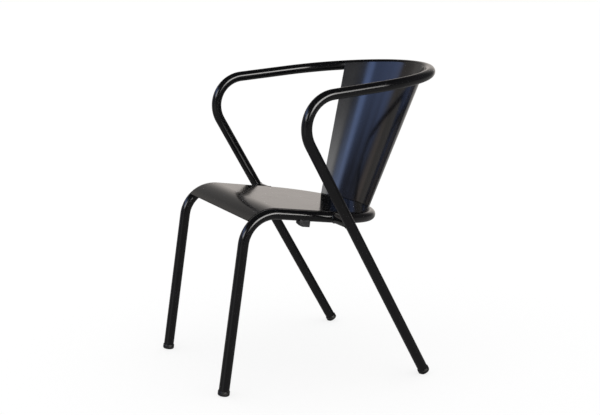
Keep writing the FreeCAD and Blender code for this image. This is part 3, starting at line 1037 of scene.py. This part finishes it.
@dataclass(frozen=True)
class Welds:
    """Rippled weld beads: round the links, under the seat and along the back sheet."""

    arm: BentTube
    seat: BentTube
    sheet: SeatSheet
    back: BackSheet
    link_y: float = -18.0
    link_z: float = 394.5
    link_bead: float = 2.4
    link_sink: float = 0.6
    link_points: int = 72
    stitch_length: float = 32.0
    stitch_bead: float = 1.9
    stitch_inward: float = 7.8
    stitch_drop: float = 1.24
    stitch_shares: tuple[float, ...] = (0.15, 0.5, 0.85)
    stitch_angles: tuple[float, ...] = (-45.0, 0.0, 45.0)
    stitch_points: int = 9
    rim_bead: float = 1.5
    rim_out: float = 0.5
    foot_bead: float = 1.5
    foot_out: float = 0.9
    seam_points: int = 97

    def saddle(self, side: Side, tube: BentTube, toward: int) -> Path:
        """Line round a link where it meets a tube.

        Args:
            side: The chair's side.
            tube: The tube that the link meets.
            toward: 1 where the link leaves the tube away from the chair's middle, -1 towards it.

        Returns:
            The line's points.
        """
        radius = tube.diameter / 2 - self.link_sink
        if tube is self.arm:
            start, along = tube.foot(side), tube.leg(side)
        else:
            start = tube.hoop.corner(side)
            along = (tube.hoop.beside_run(side, 0, 0, 0) - start).normalized()
        line = []
        for step in range(self.link_points):
            turn = 2 * math.pi * step / self.link_points
            point = Vector((0, self.link_y + radius * math.cos(turn), self.link_z + radius * math.sin(turn)))
            offset = (point - start) - along * (point - start).dot(along)
            ray = Vector((1, 0, 0)) - along * along.x
            half, square = ray.dot(offset) / ray.length_squared, ray.length_squared
            depth = half ** 2 - (offset.length_squared - radius ** 2) / square
            reach = -half + side.value * toward * math.sqrt(max(depth, 0.0))
            line.append((point + Vector((reach, 0, 0)), 0.0))
        return line

    def lay(
        self, node: str, paths: Sequence[Path], radius: float, tree: bpy.types.NodeTree,
        coating: bpy.types.Material, closed: bool = False
    ) -> bpy.types.Object:
        """Lay the beads of one CAD node.

        Args:
            node: The node that the beads stand for.
            paths: The line of each bead.
            radius: The bead's radius in millimetres.
            tree: The weld bead tree.
            coating: The beads' finish.
            closed: Whether the beads run round to their start.

        Returns:
            The finished beads as one piece.
        """
        piece = grow(f"{node}_bead", guide_lines(node, paths, closed), tree, {
            "Bead Radius": radius * MM, "Tapered Ends": 0.0 if closed else 1.0, "Coating": coating})
        smooth_between(piece.data, 60)
        return mount(piece, Coat.TUBE, node)

    def build(self, tree: bpy.types.NodeTree, coating: bpy.types.Material) -> list[bpy.types.Object]:
        """Lay all the chair's beads.

        Args:
            tree: The weld bead tree.
            coating: The beads' finish.

        Returns:
            The finished beads.
        """
        pieces = []
        level = self.sheet.under() - self.stitch_drop
        hoop, start = self.sheet.hoop, self.sheet.bend_start()
        for side in Side:
            for place, tube, toward in (("rail", self.seat, 1), ("leg", self.arm, -1)):
                pieces.append(self.lay(f"link_weld_{side.word}_{place}", [self.saddle(side, tube, toward)],
                                       self.link_bead, tree, coating, closed=True))
            stitches = []
            for share in self.stitch_shares:
                steps = [self.stitch_length * (step / (self.stitch_points - 1) - 0.5)
                         for step in range(self.stitch_points)]
                stitches.append([(hoop.beside_run(side, share * start + step, self.stitch_inward, level), 0.0)
                                 for step in steps])
            pieces.append(self.lay(f"seat_weld_{side.word}", stitches, self.stitch_bead, tree, coating))
        inner = hoop.radius - self.stitch_inward
        span = math.degrees(self.stitch_length / inner)
        rear = [self.arc(hoop, inner, middle, span, level, self.stitch_points)
                for middle in self.stitch_angles]
        pieces.append(self.lay("seat_weld_rear", rear, self.stitch_bead, tree, coating))
        rim = self.arc(self.back.arm, self.back.top_radius + self.rim_out, 0.0, self.back.top_span,
                       self.back.above - self.rim_bead, self.seam_points)
        pieces.append(self.lay("backrest_rim_weld", [rim], self.rim_bead, tree, coating))
        foot = self.arc(self.back.seat, self.back.foot_radius + self.foot_out, 0.0, self.back.foot_span,
                        self.back.foot_height + self.foot_out, self.seam_points)
        pieces.append(self.lay("backrest_foot_weld", [foot], self.foot_bead, tree, coating))
        return pieces

    @staticmethod
    def arc(hoop: Hoop, radius: float, middle: float, span: float, height: float, count: int) -> Path:
        """Arc about a hoop's axis.

        Args:
            hoop: The hoop.
            radius: The arc's radius.
            middle: Its middle, as an angle from the hoop's rear.
            span: The angle that it covers.
            height: Its height over the hoop's plane.
            count: How many points it gets.

        Returns:
            The arc's points.
        """
        angles = [middle + span * (step / (count - 1) - 0.5) for step in range(count)]
        return [(hoop.polar(radius, angle, height), 0.0) for angle in angles]


# Stacking bumpers


@dataclass(frozen=True)
class Bumpers:
    """Rubber blocks screwed up under the seat's rails, which rest on the chair below in a stack."""

    tube: BentTube
    rearward: float = -99.0
    length: float = 28.0
    width: float = 18.0
    drop: float = 12.5
    chamfer: float = 6.0
    ramp: float = 9.0
    rounding: float = 1.2
    columns: int = 17
    head_radius: float = 4.0
    head_height: float = 2.5
    shank: float = 2.0
    reach: float = 6.0
    bore_gap: float = 0.5
    head_profile: tuple[tuple[float, float], ...] = ((0.55, 0.05), (0.8, 0.3), (0.95, 0.8), (1.0, 1.4))
    tip_share: float = 0.6
    tip_length: float = 1.0
    recess: float = 2.3
    recess_half: float = 0.45
    recess_depth: float = 1.3
    clearance: float = 1.0

    def base(self) -> float:
        """Height of the block's lower face over the rail's axis."""
        return -(self.tube.diameter / 2 + self.drop)

    def block(self, side: Side) -> bpy.types.Mesh:
        """Block whose top follows the rail and whose lower front corner is cut away.

        Args:
            side: The chair's side.

        Returns:
            The closed mesh.
        """
        place = self.tube.hoop.run_place(side, self.rearward)
        half, base = self.length / 2, self.base()
        radius = self.tube.diameter / 2
        across = [self.width * (column / (self.columns - 1) - 0.5) for column in range(self.columns)]
        stations = [(-half, base + self.chamfer), (-half + self.ramp, base), (half, base)]
        points = []
        for along, low in stations:
            points += [place @ Vector((x, along, low)) for x in across]
            points += [place @ Vector((x, along, -math.sqrt(radius ** 2 - x ** 2))) for x in reversed(across)]
        faces = [face[::-1] for face in capped_faces(len(stations), 2 * self.columns)]
        return mesh_from(f"stacking_bumper_{side.word}", points, faces)

    def counterbore(self, side: Side) -> bpy.types.Mesh:
        """Form of the screw's hole and of the wider hole for its head.

        Args:
            side: The chair's side.

        Returns:
            The closed form.
        """
        base = self.base()
        floor = base + self.head_height
        wide = self.head_radius + self.bore_gap
        outline = [(wide, base - self.clearance), (wide, floor), (self.shank, floor), (self.shank, 0.0)]
        return turned_form("counterbore", outline, self.tube.hoop.run_place(side, self.rearward))

    def recess_form(self, side: Side) -> bpy.types.Mesh:
        """Cross that the screwdriver fits, as a closed form.

        Args:
            side: The chair's side.

        Returns:
            The closed form.
        """
        arm, half = self.recess, self.recess_half
        quarter = [(arm, -half), (arm, half), (half, half)]
        plan = []
        for turn in range(4):
            for x, y in quarter:
                for _ in range(turn):
                    x, y = -y, x
                plan.append((x, y))
        place = self.tube.hoop.run_place(side, self.rearward)
        low, high = self.base() - self.clearance, self.base() + self.recess_depth
        points = [place @ Vector((x, y, z)) for z in (low, high) for x, y in plan]
        return mesh_from("recess", points, capped_faces(2, len(plan)))

    def screw(self, side: Side) -> bpy.types.Object:
        """Pan head screw with a cross recess, up through the block into the rail.

        Args:
            side: The chair's side.

        Returns:
            The screw.
        """
        base, head = self.base(), self.head_radius
        tip = -self.tube.diameter / 2 + self.tube.wall + self.reach
        outline = [(head * share, base + height) for share, height in self.head_profile]
        outline += [(head, base + self.head_height), (self.shank, base + self.head_height),
                    (self.shank, tip - self.tip_length), (self.shank * self.tip_share, tip)]
        mesh = turned_form("screw", outline, self.tube.hoop.run_place(side, self.rearward))
        return cut_away(link_object("screw", mesh), self.recess_form(side))

    def build(self, rubber: bpy.types.Material, zinc: bpy.types.Material) -> list[bpy.types.Object]:
        """Make both blocks and both screws.

        Args:
            rubber: The blocks' material.
            zinc: The screws' finish.

        Returns:
            The finished blocks, and the screws as one piece.
        """
        pieces = []
        screws = bmesh.new()
        for side in Side:
            node = f"stacking_bumper_{side.word}"
            block = link_object(f"{node}_moulded", self.block(side))
            round_edges(block, self.rounding, 30)
            cut_away(block, self.counterbore(side))
            block.data.materials.clear()
            block.data.materials.append(rubber)
            smooth_between(block.data, 35)
            pieces.append(mount(block, Coat.BUMPER, node))
            screw = self.screw(side)
            screws.from_mesh(screw.data)
            bpy.data.objects.remove(screw)
        mesh = bpy.data.meshes.new("bumper_screws_turned")
        screws.to_mesh(mesh)
        screws.free()
        mesh.materials.append(zinc)
        smooth_between(mesh, 35)
        pieces.append(mount(link_object("bumper_screws_turned", mesh), Coat.SCREW, "bumper_screws"))
        return pieces


# Stage


@dataclass(frozen=True)
class Glow:
    """A soft-edged patch of the studio that shines on glossy surfaces.

    Its sides are compass angles in degrees, 0 at the chair's rear and 90 at the
    sitter's right, and its ends are angles over the horizon.
    """

    sides: tuple[float, float]
    ends: tuple[float, float]
    colour: str
    strength: float
    side_edge: float = 5.0
    end_edge: float = 4.0

    def mask(
        self, tree: bpy.types.NodeTree, turn: bpy.types.NodeSocket, rise: bpy.types.NodeSocket
    ) -> bpy.types.Node:
        """Nodes that are one inside the patch and zero outside it.

        Args:
            tree: The world's tree.
            turn: The direction's compass angle in degrees.
            rise: Its angle over the horizon in degrees.

        Returns:
            The node whose first output is the mask.
        """
        shares = []
        extents = ((self.sides, self.side_edge, turn), (self.ends, self.end_edge, rise))
        for (low, high), edge, angle in extents:
            off = add_node(tree, "ShaderNodeMath", {"operation": "SUBTRACT"}, {0: angle, 1: (low + high) / 2})
            wrapped = add_node(tree, "ShaderNodeMath", {"operation": "WRAP"}, {
                0: off.outputs[0], 1: 180.0, 2: -180.0})
            away = add_node(tree, "ShaderNodeMath", {"operation": "ABSOLUTE"}, {0: wrapped.outputs[0]})
            half = (high - low) / 2
            shares.append(add_node(tree, "ShaderNodeMapRange", {"interpolation_type": "SMOOTHSTEP"}, {
                "Value": away.outputs[0], "From Min": half + edge, "From Max": half - edge}))
        return add_node(tree, "ShaderNodeMath", {"operation": "MULTIPLY"}, {
            0: shares[0].outputs[0], 1: shares[1].outputs[0]})


# In order: the bright lines along the tubes; on the back sheet the blue streak in two patches, the
# pale far side in two, the blue sheen in four and the warm strip in two; the faint line down the
# front legs; the sheen on the seat in two; and the room as a whole in two.
STUDIO_GLOWS = (
    Glow((-98, -55), (9, 30), "#FFFDFA", 10.5),
    Glow((170.5, 180), (27, 35.5), "#9CBBFF", 4.0, side_edge=2.5, end_edge=2.5),
    Glow((174, 190), (18, 28), "#B3CBFF", 3.8, side_edge=4, end_edge=2.5),
    Glow((193, 216), (14, 28.6), "#FFFFFF", 5.2, side_edge=5, end_edge=2.8),
    Glow((180, 216), (28, 36), "#F0F2FF", 0.36, side_edge=5, end_edge=2),
    Glow((127.5, 143), (20.5, 35.5), "#9DBBFF", 1.5, side_edge=3, end_edge=2.5),
    Glow((143, 156), (23.5, 35.5), "#9DBBFF", 1.5, side_edge=3, end_edge=2.5),
    Glow((156, 171), (26, 35.5), "#9DBBFF", 1.5, side_edge=3, end_edge=2.5),
    Glow((134, 172), (-3, 30), "#C4CEFF", 0.2, side_edge=8),
    Glow((123, 135), (8, 18.5), "#FFE4D6", 0.32, side_edge=3, end_edge=2),
    Glow((96, 133), (-12, 34), "#FFF6EE", 0.24, side_edge=6, end_edge=6),
    Glow((186, 225), (-20, 12), "#FFFFFF", 0.2, side_edge=6, end_edge=6),
    Glow((42, 78), (-8, 17), "#FFF4EC", 0.5, side_edge=10, end_edge=8),
    Glow((34, 100), (-12, 30), "#FFFAF4", 0.2, side_edge=12, end_edge=8),
    Glow((-180, 180), (-90, -3), "#FFFCF8", 0.13, end_edge=6),
    Glow((-180, 180), (-90, 40), "#FFFFFF", 0.05, end_edge=15),
)


@dataclass(frozen=True)
class Studio:
    """Pale floor, soft studio light and the photograph's camera."""

    eye: tuple[float, float, float] = (2510.9, -1235.5, 931.6)
    yaw: float = 64.138
    pitch: float = -11.086
    roll: float = 0.5935
    focal_pixels: float = 1142.34
    image_width: int = 600
    sensor: float = 36.0
    sight: float = 200.0
    floor_radius: float = 60.0
    floor_sides: int = 96
    floor_colour: str = "#898989"
    floor_roughness: float = 0.9
    floor_light: float = 0.76
    white: float = 1.0
    room_light: float = 0.03

    def build_camera(self) -> bpy.types.Object:
        """Stand the camera where the photographer stood.

        Returns:
            The camera.
        """
        data = bpy.data.cameras.new("camera")
        data.sensor_width = self.sensor
        data.lens = self.focal_pixels * self.sensor / self.image_width
        data.clip_end = self.sight
        camera = bpy.data.objects.new("camera", data)
        turn = (Matrix.Rotation(math.radians(self.yaw), 4, "Z")
                @ Matrix.Rotation(math.radians(90 + self.pitch), 4, "X")
                @ Matrix.Rotation(math.radians(self.roll), 4, "Z"))
        camera.matrix_world = Matrix.Translation(Vector(self.eye) * MM) @ turn
        bpy.context.scene.collection.objects.link(camera)
        bpy.context.scene.camera = camera
        return camera

    def build_floor(self) -> bpy.types.Object:
        """Lay the pale floor that the chair stands on.

        Returns:
            The floor.
        """
        turns = [2 * math.pi * step / self.floor_sides for step in range(self.floor_sides)]
        points = [Vector((math.cos(turn), math.sin(turn), 0)) * self.floor_radius / MM for turn in turns]
        floor = link_object("floor", mesh_from("floor", points, [tuple(range(self.floor_sides))]))
        material = bpy.data.materials.new("white_paper_sweep")
        material.use_nodes = True
        tree = material.node_tree
        shader = tree.nodes["Principled BSDF"]
        shader.inputs["Base Color"].default_value = linear(self.floor_colour)
        shader.inputs["Roughness"].default_value = self.floor_roughness
        shader.inputs["Specular IOR Level"].default_value = 0.0
        shader.inputs["Emission Color"].default_value = linear(WHITE)
        shader.inputs["Emission Strength"].default_value = self.floor_light
        floor.data.materials.append(material)
        floor.visible_glossy = False
        return floor

    def build_world(self) -> None:
        """Fill the studio with soft white light, and give glossy surfaces a dim room to mirror."""
        world = bpy.data.worlds.new("studio")
        world.use_nodes = True
        tree = world.node_tree
        place = add_node(tree, "ShaderNodeTexCoord").outputs["Generated"]
        parts = add_node(tree, "ShaderNodeSeparateXYZ", {}, {0: place})
        left = add_node(tree, "ShaderNodeMath", {"operation": "MULTIPLY"}, {0: parts.outputs["X"], 1: -1.0})
        heading = add_node(tree, "ShaderNodeMath", {"operation": "ARCTAN2"}, {
            0: left.outputs[0], 1: parts.outputs["Y"]})
        turn = add_node(tree, "ShaderNodeMath", {"operation": "DEGREES"}, {0: heading.outputs[0]})
        climb = add_node(tree, "ShaderNodeMath", {"operation": "ARCSINE"}, {0: parts.outputs["Z"]})
        rise = add_node(tree, "ShaderNodeMath", {"operation": "DEGREES"}, {0: climb.outputs[0]})
        room = add_node(tree, "ShaderNodeCombineXYZ", {}, {axis: self.room_light for axis in "XYZ"})
        for glow in STUDIO_GLOWS:
            mask = glow.mask(tree, turn.outputs[0], rise.outputs[0])
            shine = [channel * glow.strength for channel in linear(glow.colour)[:3]]
            lit = add_node(tree, "ShaderNodeVectorMath", {"operation": "SCALE"}, {
                0: shine, "Scale": mask.outputs[0]})
            room = add_node(tree, "ShaderNodeVectorMath", {"operation": "ADD"}, {
                0: room.outputs[0], 1: lit.outputs[0]})
        ray = add_node(tree, "ShaderNodeLightPath").outputs["Is Glossy Ray"]
        seen = add_node(tree, "ShaderNodeMix", {"data_type": "RGBA"}, {
            0: ray, 6: (self.white, self.white, self.white, 1.0), 7: room.outputs[0]})
        background = tree.nodes["Background"]
        background.inputs["Strength"].default_value = 1.0
        tree.links.new(seen.outputs[2], background.inputs["Color"])
        world.cycles.sampling_method = "NONE"
        bpy.context.scene.world = world

    def build(self) -> None:
        """Set up the whole studio."""
        self.build_camera()
        self.build_floor()
        self.build_world()
        bpy.context.scene.view_settings.view_transform = "Standard"


def main() -> None:
    """Build the chair's pieces in order and set up the studio around them."""
    logging.basicConfig(level=logging.INFO, format="%(name)s %(message)s")
    arm = Hoop(radius=257.0, rear=302.5, height=729.5, tilt=5.85, splay=3.4, run=245.0)
    seat = Hoop(radius=187.0, rear=154.5, height=371.0, tilt=-7.8, splay=0.8, run=215.5)
    arm_tube = BentTube("arm_and_rear_leg_tube", arm, 245.5, 207.5, 4.6)
    seat_tube = BentTube("seat_frame_and_front_leg_tube", seat, 190.5, -301.5, 0.0)
    tube_coat = PowderCoat("black_powder_coat_on_tube").make()
    seat_coat = PowderCoat("black_powder_coat_on_seat").make()
    back_coat = PowderCoat("black_powder_coat_on_back").make()
    tubes = bent_tube_tree()
    arm_tube.build(tubes, tube_coat)
    seat_tube.build(tubes, tube_coat)
    seat_sheet = SeatSheet(seat, seat_tube)
    seat_sheet.build(seat_coat)
    back = BackSheet(arm, seat, seat_sheet.top())
    back.build(back_coat)
    FootGlides({"rear": arm_tube, "front": seat_tube}).build(MouldedPlastic().make())
    Links().build(tube_coat)
    Welds(arm_tube, seat_tube, seat_sheet, back).build(weld_bead_tree(), tube_coat)
    Bumpers(seat_tube).build(MouldedRubber().make(), ZincPlate().make())
    Studio().build()


if __name__ == "__main__":
    main()
